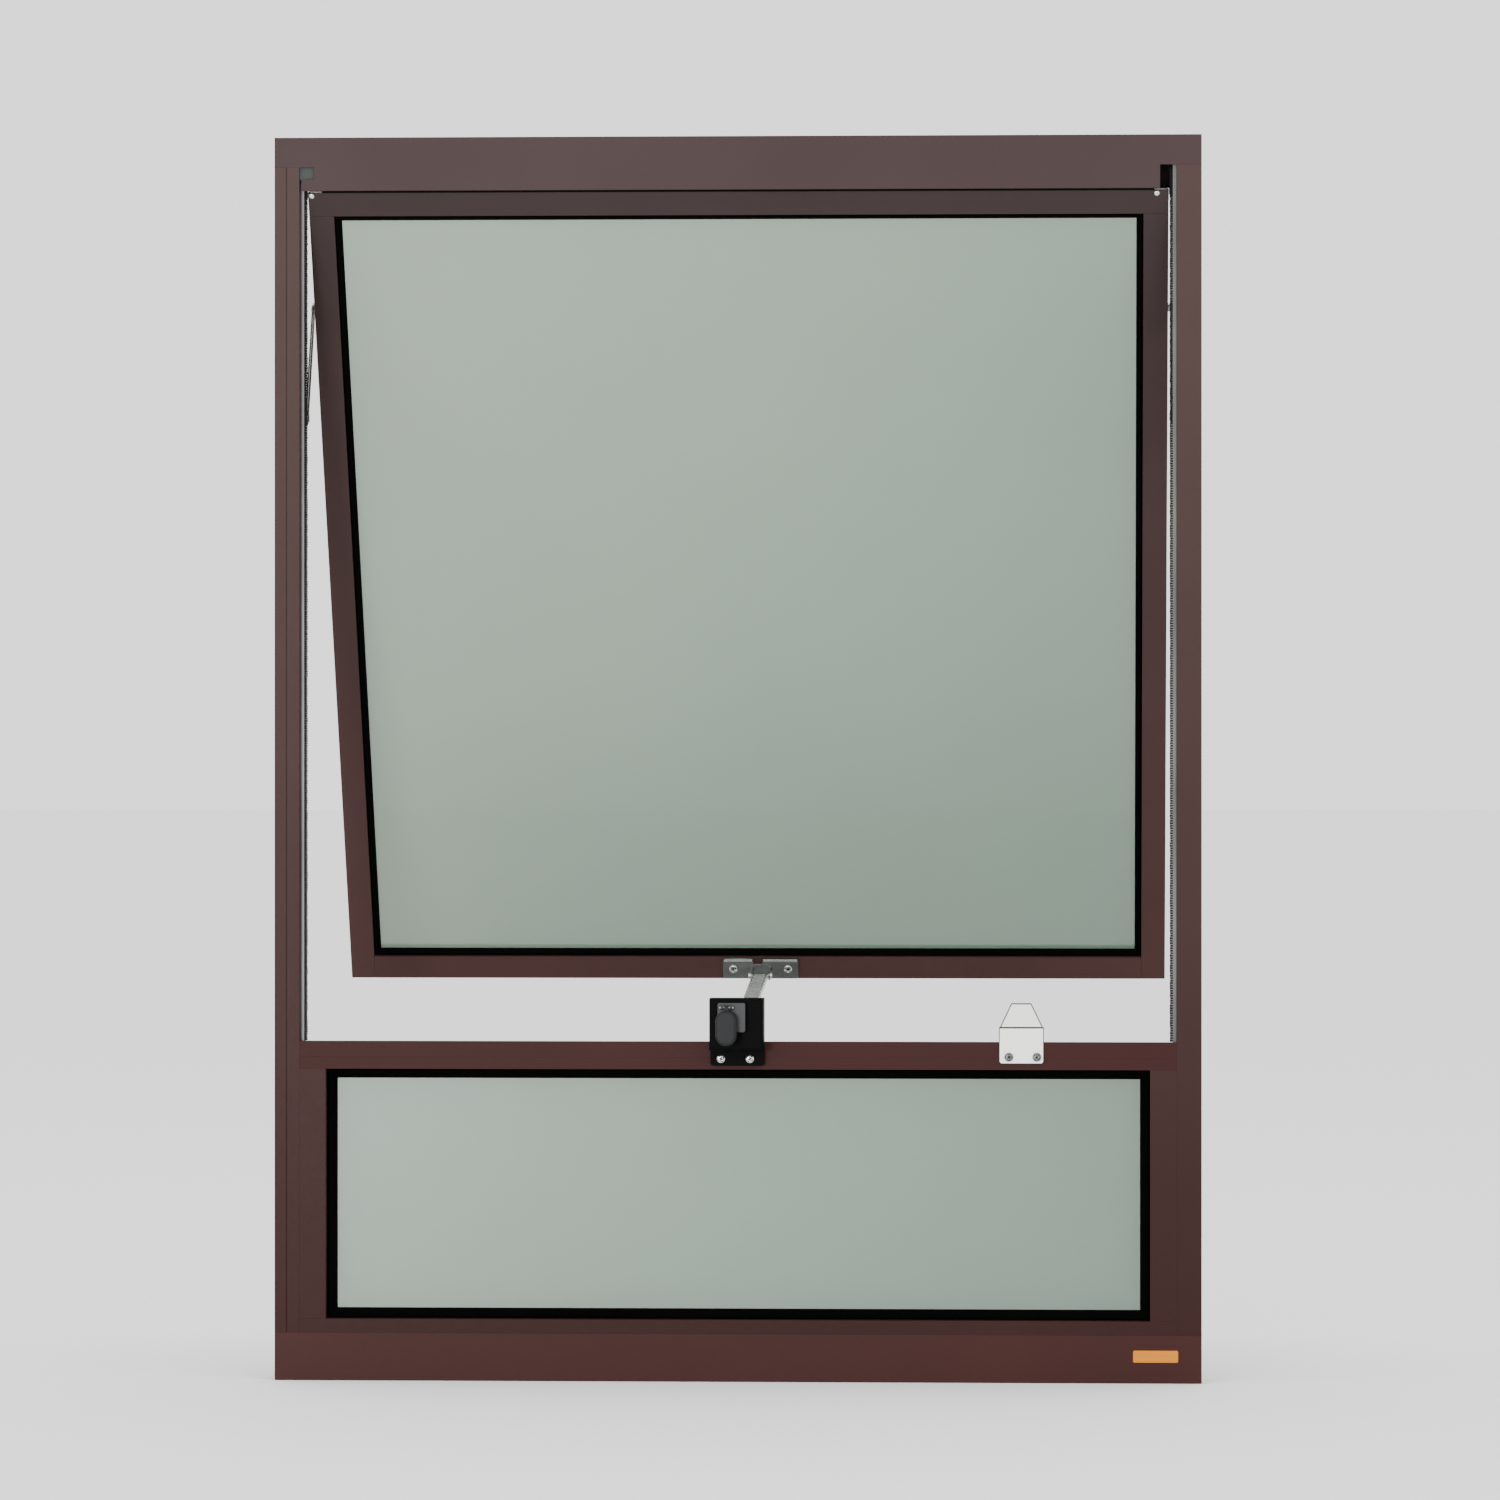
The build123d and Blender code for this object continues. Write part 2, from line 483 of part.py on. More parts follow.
# ---- guide plate and label plate ----
with BuildPart() as guide_plate:
    block((262.5, 307.5), (ROOM - 1.5, ROOM), (319, 356))
    fillet(guide_plate.edges().filter_by(Axis.Y).group_by(Axis.Z)[0], 2)
    lean = Plane(
        origin=(285, ROOM - 0.75, 356), x_dir=(1, 0, 0), z_dir=(0, -cos(radians(22)), -sin(radians(22)))
    )
    with BuildSketch(lean) as flap:
        with BuildLine():
            Polyline((-21.5, -0.6), (21.5, -0.6), (10, 26.5), (-10, 26.5), close=True)
        make_face()
    extrude(amount=0.75, both=True)
    for x in (272.5, 300.5):
        rod_y(1.65, x, (ROOM - 3, ROOM + 1), 326, Mode.SUBTRACT)
parts["guide_plate"] = guide_plate

with BuildPart() as guide_screws:
    for x in (272.5, 300.5):
        pan_screw(x, ROOM - 1.5, 326, 4.5, 1.4)
parts["guide_screws"] = guide_screws

with BuildPart() as label_plate:
    block((396.5, 441.5), (ROOM - 0.4, ROOM), (21, 33))
    fillet(label_plate.edges().filter_by(Axis.Y), 1)
parts["label_plate"] = label_plate

# ---- export ----
os.makedirs("parts", exist_ok=True)
for name, made in parts.items():
    made.part.label = name
    export_step(made.part, f"parts/{name}.step")
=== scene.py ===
import json
import math
import random

import bmesh
import bpy
from mathutils import Matrix, Vector


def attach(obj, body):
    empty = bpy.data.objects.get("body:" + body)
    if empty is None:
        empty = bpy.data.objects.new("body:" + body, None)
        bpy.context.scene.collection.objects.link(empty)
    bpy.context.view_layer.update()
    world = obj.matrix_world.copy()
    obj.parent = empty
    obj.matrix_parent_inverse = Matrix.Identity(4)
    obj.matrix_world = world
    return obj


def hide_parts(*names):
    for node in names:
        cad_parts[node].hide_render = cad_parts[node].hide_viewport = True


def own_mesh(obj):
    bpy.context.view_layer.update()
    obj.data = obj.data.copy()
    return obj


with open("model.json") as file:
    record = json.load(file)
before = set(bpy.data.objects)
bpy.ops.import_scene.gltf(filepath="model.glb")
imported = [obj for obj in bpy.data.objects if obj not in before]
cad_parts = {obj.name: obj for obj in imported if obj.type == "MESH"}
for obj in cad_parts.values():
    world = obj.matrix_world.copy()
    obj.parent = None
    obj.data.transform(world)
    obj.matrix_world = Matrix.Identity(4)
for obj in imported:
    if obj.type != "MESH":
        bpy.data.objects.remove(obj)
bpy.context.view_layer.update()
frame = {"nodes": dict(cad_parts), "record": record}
nodes = frame["nodes"]
random.seed(7)
MM = 0.001

# ---- sizes shared with the CAD, mm ----
PHI = math.radians(25)  # opening of the sash
P_Z = 967.0  # pivot of the links on the frame
ARM = 125.0  # length of a link
T_Y = -1.0  # sash's top pin
T_Z = P_Z + 2 * ARM * math.cos(PHI)
ROOM = -22.5  # face of the frame towards the room
PIN_Y = 27.0  # chain's pin on the bracket, from the sash's top pin
PIN_Z = 870.0
B_Y = T_Y - PIN_Y * math.cos(PHI) + PIN_Z * math.sin(PHI)
B_Z = T_Z - PIN_Y * math.sin(PHI) - PIN_Z * math.cos(PHI)
PITCH = 10
LINKS = 38
CHAIN_L = PITCH * LINKS
CHAIN_X = 4.0
S_Z = 363.0  # sprocket's centre
S_Y = B_Y - math.sqrt(CHAIN_L**2 + PITCH**2 - (B_Z - S_Z) ** 2)
PSI = math.atan2(B_Z - S_Z, B_Y - S_Y) + math.atan2(PITCH, CHAIN_L)
WORLD = Matrix.Identity(4)
SASH = Matrix.Translation((0, T_Y, T_Z)) @ Matrix.Rotation(PHI, 4, "X")
CHAIN = Matrix.Translation((CHAIN_X, B_Y, B_Z)) @ Matrix.Rotation(PSI, 4, "X")


# ---- materials ----
def srgb(r, g, b):
    """Linear colour from 0-255 values."""
    out = []
    for c in (r, g, b):
        c /= 255
        out.append(c / 12.92 if c <= 0.04045 else ((c + 0.055) / 1.055) ** 2.4)
    return (*out, 1)


def noise(tree, scale, detail, vector):
    """Noise texture node read at a vector socket."""
    node = tree.nodes.new("ShaderNodeTexNoise")
    node.inputs["Scale"].default_value = scale
    node.inputs["Detail"].default_value = detail
    tree.links.new(vector, node.inputs["Vector"])
    return node


def material(name, low, high, rough, metal=0.0, scale=300, stretch=(1, 1, 1), bump=0.05, dist=0.0002,
             coat=0.0, spec=0.5, fine=2500, wear=0.12, alpha=1.0, painted_shading=None):
    """Procedural surface: large mottling, fine grain, roughness change and relief, with optional painted
    shading: a colour ramp multiplied in along one direction.
    """
    m = bpy.data.materials.new(name)
    m.use_nodes = True
    t = m.node_tree
    b = t.nodes["Principled BSDF"]
    tex = t.nodes.new("ShaderNodeTexCoord")
    mapping = t.nodes.new("ShaderNodeMapping")
    mapping.inputs["Scale"].default_value = stretch
    t.links.new(tex.outputs["Object"], mapping.inputs["Vector"])
    big = noise(t, 6, 5, tex.outputs["Object"])
    mid = noise(t, scale, 4, mapping.outputs["Vector"])
    grain = noise(t, fine, 2, mapping.outputs["Vector"])
    mix = t.nodes.new("ShaderNodeMath")
    mix.operation = "MULTIPLY_ADD"
    mix.inputs[1].default_value = 0.45
    t.links.new(mid.outputs["Fac"], mix.inputs[0])
    t.links.new(big.outputs["Fac"], mix.inputs[2])
    ramp = t.nodes.new("ShaderNodeValToRGB")
    ramp.color_ramp.elements[0].position = 0.25
    ramp.color_ramp.elements[1].position = 1.0
    ramp.color_ramp.elements[0].color = low
    ramp.color_ramp.elements[1].color = high
    t.links.new(mix.outputs[0], ramp.inputs["Fac"])
    colour = ramp.outputs["Color"]
    if painted_shading:
        # painted shading: a ramp along one direction multiplies the colour, putting light falling off across
        # a bar or a pane into the colour itself
        way, lo, hi, foot, top = painted_shading
        along = t.nodes.new("ShaderNodeVectorMath")
        along.operation = "DOT_PRODUCT"
        along.inputs[1].default_value = way
        t.links.new(tex.outputs["Object"], along.inputs[0])
        rng = t.nodes.new("ShaderNodeMapRange")
        rng.inputs["From Min"].default_value = lo
        rng.inputs["From Max"].default_value = hi
        t.links.new(along.outputs["Value"], rng.inputs["Value"])
        blend = t.nodes.new("ShaderNodeMix")
        blend.data_type = "RGBA"
        blend.blend_type = "MULTIPLY"
        blend.inputs[0].default_value = 1.0
        two = t.nodes.new("ShaderNodeValToRGB")
        two.color_ramp.elements[0].color = foot
        two.color_ramp.elements[1].color = top
        t.links.new(rng.outputs[0], two.inputs["Fac"])
        t.links.new(colour, blend.inputs[6])
        t.links.new(two.outputs["Color"], blend.inputs[7])
        colour = blend.outputs[2]
    t.links.new(colour, b.inputs["Base Color"])
    rr = t.nodes.new("ShaderNodeMapRange")
    rr.inputs["To Min"].default_value = max(0.02, rough - wear)
    rr.inputs["To Max"].default_value = min(1, rough + wear)
    t.links.new(mid.outputs["Fac"], rr.inputs["Value"])
    t.links.new(rr.outputs[0], b.inputs["Roughness"])
    if bump:
        bm = t.nodes.new("ShaderNodeBump")
        bm.inputs["Strength"].default_value = bump
        bm.inputs["Distance"].default_value = dist
        t.links.new(grain.outputs["Fac"], bm.inputs["Height"])
        t.links.new(bm.outputs["Normal"], b.inputs["Normal"])
    b.inputs["Metallic"].default_value = metal
    b.inputs["Coat Weight"].default_value = coat
    b.inputs["Coat Roughness"].default_value = 0.2
    b.inputs["Specular IOR Level"].default_value = spec
    b.inputs["Alpha"].default_value = alpha
    return m


def scaled(c, f):
    """Colour scaled by a factor."""
    return (c[0] * f, c[1] * f, c[2] * f, 1)


def bronze(name, colour, low, high, painted_shading, spec=0.12):
    """Powder coat of the bars, with painted shading along one direction."""
    return material(
        name, scaled(colour, low), scaled(colour, high), 0.5,
        bump=0.4, dist=0.00006, spec=spec, painted_shading=painted_shading,
    )


BRONZE = srgb(64, 51, 50)
DARK = srgb(55, 44, 43)
UP = (0, 0, 1)
M = {
    # frame copy of the powder coat with painted shading: darker and redder towards the bottom
    "frame_bronze": bronze(
        "powder_bronze", BRONZE, 0.9, 1.1,
        (UP, 0.0, 1.15, (0.46, 0.19, 0.17, 1), (0.92, 0.84, 0.78, 1)),
    ),
    # lit and shaded copy of the same powder coat for the head and sill, with painted shading: the sill
    # darker and redder than the head
    "head_bronze": bronze(
        "powder_bronze_cross", BRONZE, 0.9, 1.1,
        (UP, 0.0, 1.15, (0.70, 0.31, 0.27, 1), (0.82, 0.78, 0.82, 1)),
    ),
    # shaded copy of the same powder coat for the transom and the top bead: painted shade, darker overall and
    # barely changing across its length
    "transom_bronze": bronze(
        "powder_bronze_transom", BRONZE, 0.9, 1.1,
        ((1, 0, 0), -0.45, 0.45, (0.64, 0.37, 0.33, 1), (0.67, 0.34, 0.34, 1)), spec=0.08,
    ),
    # lit and shaded copy of the same powder coat for the sash, with painted shading: lighter and redder at
    # the bottom rail, darker and greyer at the top rail
    "sash_bronze": bronze(
        "powder_bronze_sash", DARK, 1.12, 1.38,
        (UP, 0.38, 1.2, (1.0, 0.69, 0.65, 1), (0.61, 0.61, 0.63, 1)),
    ),
    "black_rubber": material("black_epdm", srgb(1, 1, 1), srgb(5, 5, 4), 0.8, bump=0.5, dist=0.00008,
                             spec=0.02),
    "pile": material("pile_fibre", srgb(14, 14, 14), srgb(34, 33, 33), 0.95, bump=1.0, dist=0.0006,
                     fine=1600, spec=0.1),
    "track_alloy": material("mill_alloy", srgb(58, 57, 56), srgb(112, 110, 108), 0.42, 0.8,
                            stretch=(1, 1, 0.03), bump=0.15, dist=0.00005),
    "stainless": material("brushed_steel", srgb(120, 122, 122), srgb(205, 206, 205), 0.26, 1.0,
                          stretch=(0.05, 1, 1), bump=0.12, dist=0.00003),
    "chain_steel": material("nickel_steel", srgb(140, 140, 138), srgb(225, 225, 222), 0.2, 1.0, bump=0.1,
                            dist=0.00003),
    "bracket_steel": material("plated_bracket", srgb(30, 32, 32), srgb(136, 139, 137), 0.3, 0.95,
                              stretch=(0.2, 1, 1), scale=60, bump=0.15, dist=0.00003),
    "roller_steel": material("chain_roller", srgb(60, 60, 59), srgb(190, 190, 187), 0.35, 0.9, bump=0.1,
                             dist=0.00003),
    "screw_steel": material("screw_steel", srgb(150, 150, 152), srgb(214, 214, 216), 0.22, 0.95, bump=0.1,
                            dist=0.00003),
    "dull_screw": material("dull_screw", srgb(78, 80, 80), srgb(120, 122, 122), 0.35, 0.9, bump=0.1,
                           dist=0.00003),
    "bumper_grey": material("bumper_grey", srgb(36, 42, 41), srgb(62, 68, 66), 0.6, bump=0.8, dist=0.0002,
                            fine=900, spec=0.2),
    "black_plastic": material("black_nylon", srgb(2, 2, 2), srgb(6, 6, 6), 0.55, bump=0.4,
                              dist=0.00007, fine=1800, spec=0.04),
    "crank_grey": material("crank_grey", srgb(30, 32, 33), srgb(46, 48, 49), 0.42, 0.0, bump=0.2,
                           dist=0.00005, spec=0.3),
    "grip_grey": material("grip_grey", srgb(20, 21, 22), srgb(30, 31, 32), 0.42, bump=0.4, dist=0.00007,
                          fine=1500, spec=0.15),
    "white_paint": material("white_enamel", srgb(250, 249, 245), srgb(255, 254, 250), 0.3, bump=0.15,
                            dist=0.00005, coat=0.2),
    # near-black that stands for painted shade in the screws' cross recesses and in the guide plate's bend
    # line, and gives the guide plate its dark rim
    "dark_rim_and_painted_shade": material("near_black_rim_and_painted_shade", srgb(12, 12, 11), srgb(34, 33, 31), 0.6, bump=0.2, dist=0.00005),
    "gold_label": material("gold_foil", srgb(182, 104, 8), srgb(208, 132, 20), 0.36, 0.5,
                           stretch=(0.04, 1, 1), bump=0.15, dist=0.00003),
    # painted shading on the pane: lighter towards the upper left, darker and greener towards the lower right
    "window_glass": material("tinted_glass", srgb(130, 148, 132), srgb(134, 152, 136), 0.32, wear=0.03,
                             bump=0.0, alpha=0.72, scale=3, spec=0.4,
                             painted_shading=((-0.87, 0, 0.49), -0.3, 0.8, (0.46, 0.58, 0.53, 1), (1, 1, 0.97, 1))),
}


# ---- mesh helpers ----
def build(name, bm, mat, body, m=WORLD, bevel=0.0, smooth=True):
    """Object from a bmesh in mm in local space m, riding on a body."""
    bmesh.ops.transform(bm, matrix=Matrix.Scale(MM, 4) @ m, verts=bm.verts)
    bmesh.ops.recalc_face_normals(bm, faces=bm.faces)
    me = bpy.data.meshes.new(name)
    bm.to_mesh(me)
    bm.free()
    ob = bpy.data.objects.new(name, me)
    bpy.context.scene.collection.objects.link(ob)
    me.materials.append(M[mat])
    if smooth:
        for p in me.polygons:
            p.use_smooth = True
    if bevel:
        soften(ob, bevel, 35, True)
    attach(ob, body)
    return ob


def soften(ob, width, angle, harden):
    """Rounded edges of a width in mm, where faces meet at more than an angle in degrees."""
    b = ob.modifiers.new("bevel", "BEVEL")
    b.width = width * MM
    b.segments = 2
    b.limit_method = "ANGLE"
    b.angle_limit = math.radians(angle)
    b.harden_normals = harden


def box(bm, x, y, z):
    """Box between limits, in mm."""
    made = bmesh.ops.create_cube(bm, size=1)
    for v in made["verts"]:
        v.co = Vector((
            x[0] + (v.co.x + 0.5) * (x[1] - x[0]),
            y[0] + (v.co.y + 0.5) * (y[1] - y[0]),
            z[0] + (v.co.z + 0.5) * (z[1] - z[0]),
        ))
    return made["verts"]


def prism(bm, outline, axis, lo, hi):
    """Outline of (a, b) points pushed along an axis between two limits."""
    order = {
        "X": lambda a, b, t: (t, a, b),
        "Y": lambda a, b, t: (a, t, b),
        "Z": lambda a, b, t: (a, b, t),
    }[axis]
    low = [bm.verts.new(order(a, b, lo)) for a, b in outline]
    high = [bm.verts.new(order(a, b, hi)) for a, b in outline]
    bm.faces.new(low)
    bm.faces.new(high)
    for i in range(len(low)):
        j = (i + 1) % len(low)
        bm.faces.new((low[i], low[j], high[j], high[i]))


def ring(bm, half, z0, z1, profile):
    """Profile of (inward, y) points swept round a rectangle with mitred corners, closed."""
    rows = []
    for sx, zz in ((-1, 0), (1, 0), (1, 1), (-1, 1)):
        row = []
        for u, y in profile:
            row.append(bm.verts.new((sx * (half - u), y, (z1 - u) if zz else (z0 + u))))
        rows.append(row)
    n = len(profile)
    for c in range(4):
        a, b = rows[c], rows[(c + 1) % 4]
        for i in range(n):
            j = (i + 1) % n
            bm.faces.new((a[i], a[j], b[j], b[i]))


def lathe(bm, profile, steps=32):
    """Profile of (radius, y) points turned about Y."""
    rows = []
    for s in range(steps):
        a = 2 * math.pi * s / steps
        rows.append([bm.verts.new((r * math.cos(a), y, r * math.sin(a))) for r, y in profile])
    for s in range(steps):
        a, b = rows[s], rows[(s + 1) % steps]
        for i in range(len(profile) - 1):
            bm.faces.new((a[i], a[i + 1], b[i + 1], b[i]))
    bmesh.ops.remove_doubles(bm, verts=bm.verts, dist=1e-4)


def screw(name, centre, radius, height, turn, mat, body, m=WORLD):
    """Domed cross-recess screw head facing -Y, its seat at centre."""
    bm = bmesh.new()
    lathe(bm, [
        (0, 0), (radius, 0), (radius, -0.35 * height), (radius * 0.93, -0.66 * height),
        (radius * 0.78, -0.86 * height), (radius * 0.55, -0.97 * height), (0.001, -height),
    ])
    local = m @ Matrix.Translation(centre) @ Matrix.Rotation(turn, 4, "Y")
    head = build(name, bm, mat, body, local)
    cut = bmesh.new()
    w, arm = radius * 0.13, radius * 0.58
    for x, z in ((arm, w), (w, arm)):
        vs = box(cut, (-x, x), (-height - 1, -height * 0.45), (-z, z))
        for v in vs:
            if v.co.y > -height * 0.6:
                v.co.x *= 0.6 if x > z else 1
                v.co.z *= 0.6 if z > x else 1
    tool_mesh = bpy.data.meshes.new("cut")
    bmesh.ops.transform(cut, matrix=Matrix.Scale(MM, 4) @ local, verts=cut.verts)
    bmesh.ops.recalc_face_normals(cut, faces=cut.faces)
    cut.to_mesh(tool_mesh)
    cut.free()
    tool = bpy.data.objects.new("cut", tool_mesh)
    bpy.context.scene.collection.objects.link(tool)
    mod = head.modifiers.new("recess", "BOOLEAN")
    mod.operation = "DIFFERENCE"
    mod.object = tool
    mod.use_self = True
    bpy.context.view_layer.update()
    done = bpy.data.meshes.new_from_object(head.evaluated_get(bpy.context.evaluated_depsgraph_get()))
    head.modifiers.clear()
    head.data = done
    bpy.data.objects.remove(tool)
    inverse = (Matrix.Scale(MM, 4) @ local).inverted()
    # the cross recess takes the near-black material: painted shade in the recess
    done.materials.append(M["dark_rim_and_painted_shade"])
    for p in done.polygons:
        c = inverse @ p.center
        if max(abs(c.x), abs(c.z)) < arm * 1.02 and c.y > -height * 0.93:
            p.material_index = 1
    shade = head.modifiers.new("edge", "EDGE_SPLIT")
    shade.split_angle = math.radians(35)
    return head


# ---- CAD nodes carried over, with softened edges and finishes ----
SLOTS = {s["node"]: s["material_slot"] for s in frame["record"]["subparts"]}
FINISH = {
    "head": "head_bronze", "sill": "head_bronze", "transom": "transom_bronze",
    "fixed_bead_top": "transom_bronze", "sash_bracket": "bracket_steel",
    "corner_bumper": "bumper_grey", "bracket_pin": "chain_steel",
}
SOFT = {  # edge radius, mm
    "head": 0.22, "sill": 0.22, "jamb_left": 0.22, "jamb_right": 0.22, "transom": 0.12,
    "fixed_bead_bottom": 0.12, "fixed_bead_top": 0.12, "fixed_bead_left": 0.12, "fixed_bead_right": 0.12,
    "sash_stile_left": 0.5, "sash_stile_right": 0.5, "sash_rail_top": 0.35, "sash_rail_bottom": 0.35,
    "sash_bracket": 0.35, "crank_arm": 0.4, "winder_base": 0.4,
    "track_left": 0.2, "track_right": 0.2, "roller_left": 0.4, "roller_right": 0.4, "corner_bumper": 0.4,
    "link_left": 0.25, "link_right": 0.25, "top_pivot_left": 0.15, "top_pivot_right": 0.15,
}
for name, node in nodes.items():
    node.data.materials.clear()
    node.data.materials.append(M[FINISH.get(name, SLOTS[name])])
    if name in SOFT:
        weld = node.modifiers.new("weld", "WELD")
        weld.merge_threshold = 1e-6
        soften(node, SOFT[name], 40, False)

# ---- gaskets ----
FIXED_PANE = (418, 57.5, 317.5)  # half width, bottom and top of the opening the ring lies in
SASH_PANE = (415, -862, -11)
bm = bmesh.new()
ring(bm, *FIXED_PANE, [
    (0, -7), (4.5, -7), (4.9, -9.6), (6.2, -10.6), (8.6, -10.4), (11.8, -7.4), (14.2, -4.4),
    (14.5, -3.05), (0, -3.05),
])
room = build("fixed_gasket_lip", bm, "black_rubber", "frame", bevel=0.25)
bm = bmesh.new()
ring(bm, *FIXED_PANE, [(0, 3.05), (0, 5), (4.5, 5), (5.2, 6.4), (7.5, 6.2), (10.5, 4.2), (11, 3.05)])
build("fixed_gasket_outdoor", bm, "black_rubber", "frame", bevel=0.2)
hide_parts("fixed_gaskets")
bm = bmesh.new()
ring(bm, *SASH_PANE, [
    (0, -10), (8.3, -10), (8.7, -11.9), (9.6, -12.7), (11.4, -12.3), (13.2, -10.0), (14.8, -8.2),
    (15, -7.05), (0, -7.05),
])
room = build("sash_gasket_lip", bm, "black_rubber", "sash", SASH, bevel=0.2)
bm = bmesh.new()
ring(bm, *SASH_PANE, [(0, -0.95), (0, 2), (8.4, 2), (9.2, 3.4), (11, 3), (12.8, 0.6), (13, -0.95)])
build("sash_gasket_outdoor", bm, "black_rubber", "sash", SASH, bevel=0.2)
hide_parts("sash_gaskets")

# ---- pile seals: a backing strip with tufts ----
PILE_FOOT, PILE_TOP = 341.0, 1216
TUFT, TUFT_STEP = 2.3, 2.5
for side, name in ((-1, "left"), (1, "right")):
    bm = bmesh.new()
    box(bm, sorted((side * 436.2, side * 437.8)), (-11.7, -8.9), (PILE_FOOT, PILE_TOP))
    z = PILE_FOOT
    while z < PILE_TOP - 2:
        tip = side * (433.0 + random.uniform(0, 0.5))
        y = random.uniform(-0.25, 0.25)
        box(bm, sorted((tip, side * 436.3)), (-11.2 + y, -9.4 + y), (z, z + TUFT))
        z += TUFT_STEP
    pile = build(f"pile_tufts_{name}", bm, "pile", "frame", smooth=False)
    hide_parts(f"pile_seal_{name}")

# ---- screws ----
for i, x in enumerate((-15.5, 13.5)):
    s = screw(f"winder_screw_{i}", (x, ROOM - 6, 324), 4.4, 2.2, 0.4 + i, "screw_steel", "frame")
    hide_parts("winder_screws")
for i, x in enumerate((272.5, 300.5)):
    s = screw(f"guide_screw_{i}", (x, ROOM - 1.5, 326), 4.5, 2.1, 0.9 - i, "dull_screw", "frame")
    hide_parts("guide_screws")
for i, x in enumerate((-25.0, 33.0)):
    s = screw(f"bracket_screw_{i}", (x, -18, -866), 4.4, 2.1, 0.2 + 1.3 * i, "screw_steel", "sash", SASH)
    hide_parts("bracket_screws")

# ---- bright pin heads on the sash's top corners; bright steel strips along the bracket's top edges, a painted highlight ----
for i, x in enumerate((-428.6, 420.5)):
    bm = bmesh.new()
    lathe(bm, [(0, 0), (2.9, 0), (2.9, -0.3), (2.2, -0.8), (1.0, -1.0), (0.001, -1.05)])
    seat = SASH @ Matrix.Translation((x, -15, 2.7))
    build(f"corner_pin_{i}", bm, "screw_steel", "sash", seat)
# painted highlight: thin strips of the brighter chain steel along the bracket's top edges
for i, (x0, x1) in enumerate(((-34.5, -4.8), (6.8, 42.5))):
    bm = bmesh.new()
    box(bm, (x0, x1), (-18.8, -17.9), (-857.6, -855.2))
    build(f"bracket_painted_highlight_{i}", bm, "chain_steel", "sash", SASH, bevel=0.4)

# ---- guide plate: white faces over a near-black slab showing as a dark rim, with the bend line left open as painted shade in the crease ----
LEAN = Matrix.Translation((285, ROOM, 356)) @ Matrix.Rotation(math.radians(22), 4, "X")
bm = bmesh.new()
prism(bm, [(262.5, 321), (264.5, 319), (305.5, 319), (307.5, 321), (307.5, 356), (262.5, 356)], "Y",
      ROOM - 1.2, ROOM)
build("guide_edge", bm, "dark_rim_and_painted_shade", "frame", bevel=0.1)
bm = bmesh.new()
prism(bm, [
    (263.4, 321.4), (264.9, 319.9), (305.1, 319.9), (306.6, 321.4), (306.6, 354.6), (263.4, 354.6),
], "Y", ROOM - 1.5, ROOM - 0.9)
face = build("guide_face", bm, "white_paint", "frame", bevel=0.1)
bm = bmesh.new()
prism(bm, [(-21.5, 0), (21.5, 0), (10, 26.3), (-10, 26.3)], "Y", -1.2, -0.1)
build("guide_flap_edge", bm, "dark_rim_and_painted_shade", "frame", LEAN, bevel=0.1)
bm = bmesh.new()
prism(bm, [(-20.1, 0.9), (20.1, 0.9), (9.4, 25.3), (-9.4, 25.3)], "Y", -1.5, -0.9)
build("guide_flap_face", bm, "white_paint", "frame", LEAN, bevel=0.1)
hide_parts("guide_plate")

# ---- blank label plate with a raised rim ----
bm = bmesh.new()
prism(bm, [(397.3, 21), (440.7, 21), (441.5, 21.8), (441.5, 32.2), (440.7, 33), (397.3, 33), (396.5, 32.2),
           (396.5, 21.8)], "Y", ROOM - 0.28, ROOM)
label = build("label_foil", bm, "gold_label", "frame", bevel=0.08)
for x, z in (((396.9, 441.1), (21.4, 22.0)), ((396.9, 441.1), (32.0, 32.6)), ((396.9, 397.5), (21.4, 32.6)),
             ((440.5, 441.1), (21.4, 32.6))):
    bm = bmesh.new()
    box(bm, x, (ROOM - 0.4, ROOM - 0.26), z)
    build(f"label_rim_{int(x[0])}_{int(z[0])}", bm, "gold_label", "frame", bevel=0.04)
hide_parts("label_plate")

# ---- push chain ----
def link_outline(y0, y1, r, waist, steps=10):
    """Waisted chain plate as (y, z) points."""
    pts = []
    for i in range(steps + 1):
        a = math.radians(-60 + 120 * i / steps)
        pts.append((y1 + r * math.cos(a), r * math.sin(a)))
    pts.append(((y0 + y1) / 2, waist))
    for i in range(steps + 1):
        a = math.radians(120 + 120 * i / steps)
        pts.append((y0 + r * math.cos(a), r * math.sin(a)))
    pts.append(((y0 + y1) / 2, -waist))
    return pts


OUTER_PLATE, INNER_PLATE = (7.0, 8.0), (5.9, 6.9)  # from the chain's middle plane
PLATE_R, WAIST = 3.5, 2.5
PIN, ROLLER = (1.2, 8.3), (2.5, 5.75)  # radius, half length
bm = bmesh.new()
for n in range(LINKS):
    near, far = INNER_PLATE if n % 2 else OUTER_PLATE
    for x in ((-far, -near), (near, far)):
        prism(bm, link_outline(-PITCH * (n + 1), -PITCH * n, PLATE_R, WAIST), "X", *x)
for n in range(1, LINKS + 1):
    for r, w in (PIN, ROLLER):
        pts = [
            (-PITCH * n + r * math.cos(a * math.pi / 8), r * math.sin(a * math.pi / 8)) for a in range(16)
        ]
        prism(bm, pts, "X", -w, w)
chain = build("push_chain", bm, "chain_steel", "chain", CHAIN, smooth=False)
chain.data.materials.append(M["roller_steel"])
for p in chain.data.polygons:
    if max(abs(chain.data.vertices[v].co.x - CHAIN_X * MM) for v in p.vertices) < INNER_PLATE[0] * MM - 5e-5:
        p.material_index = 1
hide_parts("chain_outer_links", "chain_inner_links", "chain_pins")
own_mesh(chain)


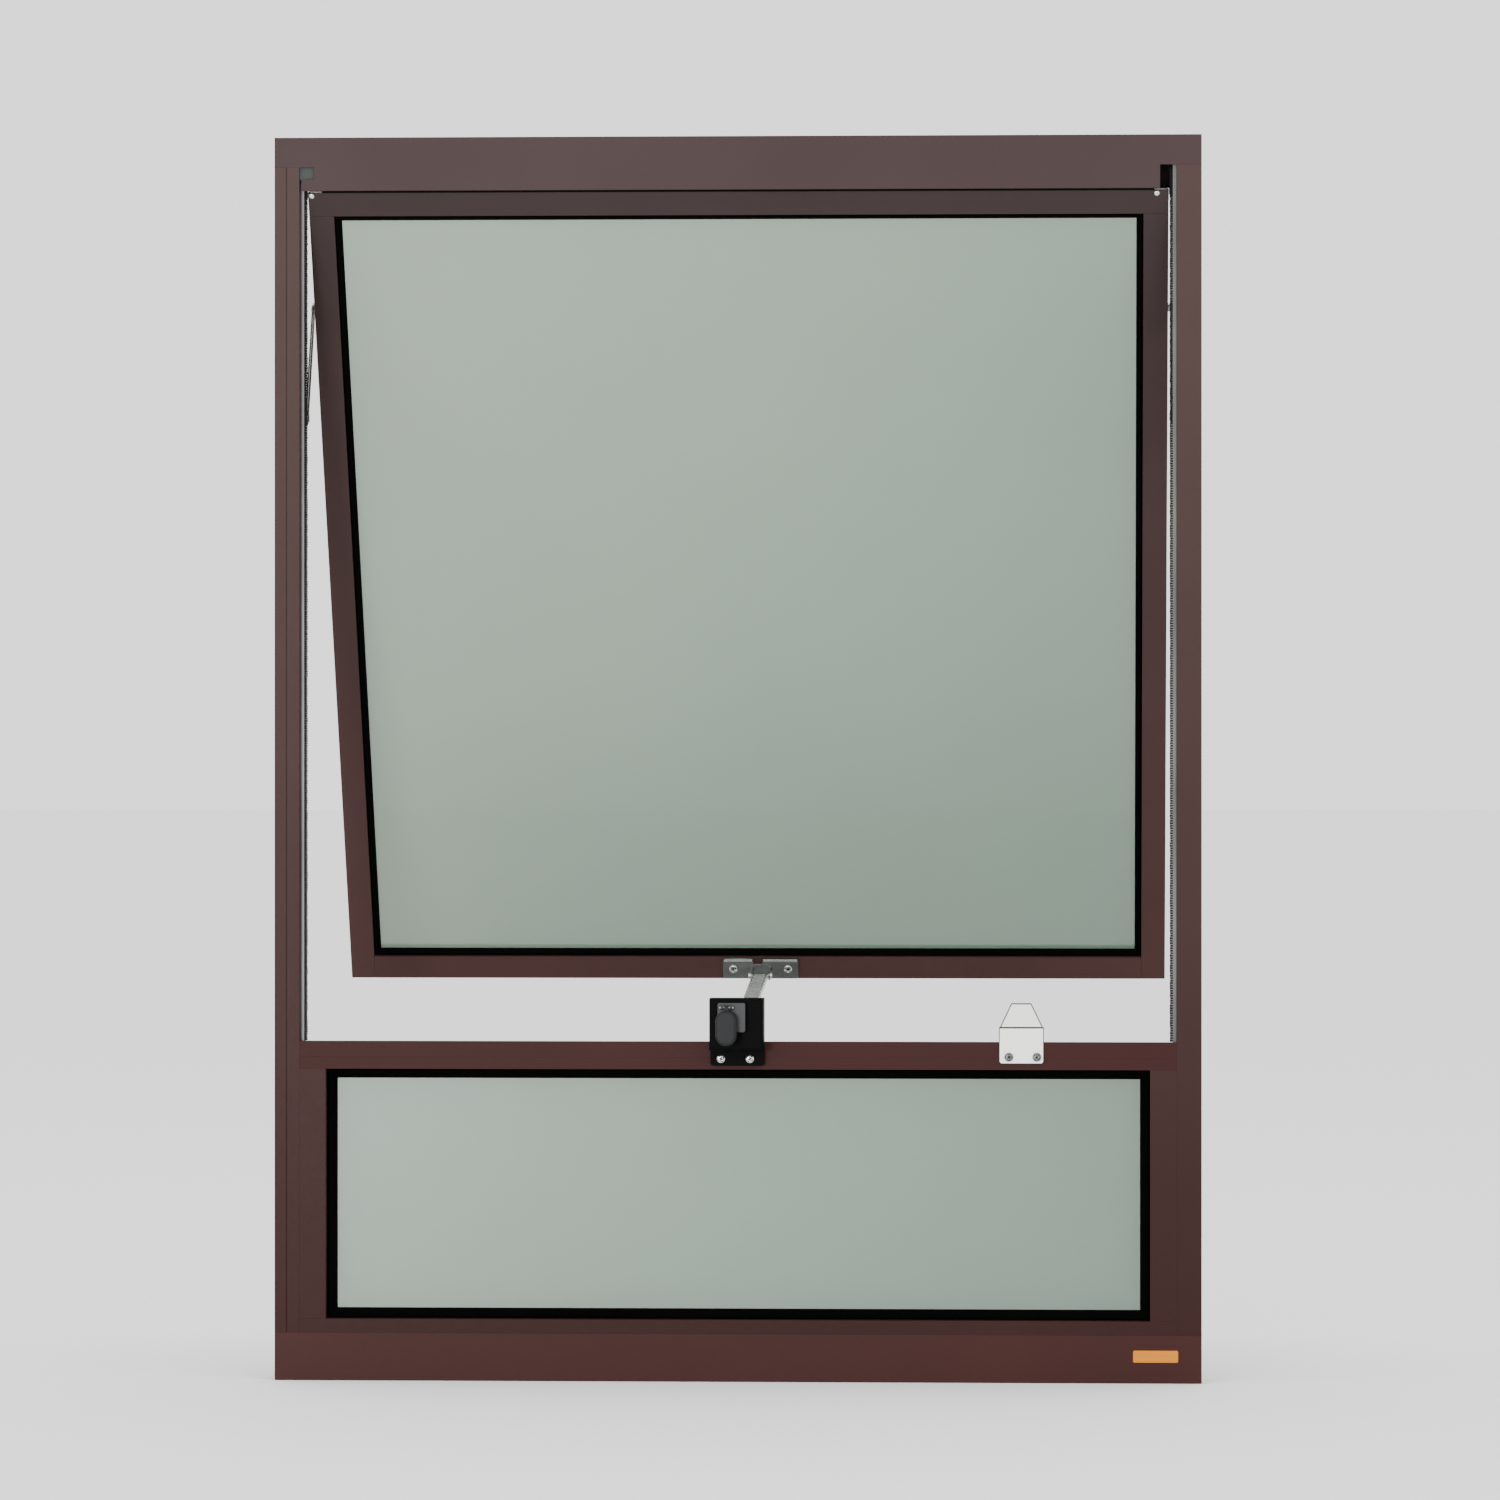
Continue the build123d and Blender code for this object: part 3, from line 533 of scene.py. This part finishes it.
# ---- stage, light, camera ----
def plane(name, verts, mat):
    """Flat stage piece."""
    me = bpy.data.meshes.new(name)
    me.from_pydata(verts, [], [(0, 1, 2, 3)])
    ob = bpy.data.objects.new(name, me)
    bpy.context.scene.collection.objects.link(ob)
    me.materials.append(mat)


STAGE = bpy.data.materials.new("stage_white")
STAGE.use_nodes = True
paper = STAGE.node_tree.nodes["Principled BSDF"]
paper.inputs["Base Color"].default_value = (0.93, 0.93, 0.93, 1)
paper.inputs["Roughness"].default_value = 0.9
FLOOR = 60.0  # half width, m
plane("floor", [(-FLOOR, -FLOOR, 0), (FLOOR, -FLOOR, 0), (FLOOR, FLOOR, 0), (-FLOOR, FLOOR, 0)], STAGE)


def area(name, loc, target, size, power):
    """Soft area light aimed at a point."""
    light = bpy.data.lights.new(name, "AREA")
    light.shape = "RECTANGLE"
    light.size, light.size_y = size
    light.energy = power
    ob = bpy.data.objects.new(name, light)
    ob.location = loc
    ob.rotation_euler = (Vector(target) - Vector(loc)).to_track_quat("-Z", "Y").to_euler()
    bpy.context.scene.collection.objects.link(ob)


area("key", (-1.5, -5.2, 0.6), (0, 0, 0.75), (0.9, 0.9), 120)
area("fill", (2.6, -3.6, 2.8), (0, 0, 0.6), (2.5, 2.5), 20)
area("top", (0, 0, 4.5), (0, 0, 0), (5, 5), 60)
world = bpy.data.worlds.new("world")
world.use_nodes = True
sky = world.node_tree.nodes["Background"]
sky.inputs["Color"].default_value = (1, 1, 1, 1)
sky.inputs["Strength"].default_value = 1.7
bpy.context.scene.world = world

CAM_X, CAM_Y, CAM_Z = 0.364, -6.3225, 0.633
SHIFT = -0.06
AIM_X = 0.0135  # X on the window at the middle of the picture
AIM_DEPTH = 6.3  # from the camera to the frame's room face
FRAME_WIDTH = 1.5  # width of the picture at the window
cam = bpy.data.cameras.new("camera")
cam.lens = 151.2  # FRAME_WIDTH at AIM_DEPTH on the sensor
cam.sensor_width = 36
cam.shift_x = SHIFT
cam_ob = bpy.data.objects.new("camera", cam)
cam_ob.location = (CAM_X, CAM_Y, CAM_Z)
yaw = math.atan((CAM_X - AIM_X + SHIFT * FRAME_WIDTH) / AIM_DEPTH)
cam_ob.rotation_euler = (math.radians(90), 0, yaw)
bpy.context.scene.collection.objects.link(cam_ob)
bpy.context.scene.camera = cam_ob
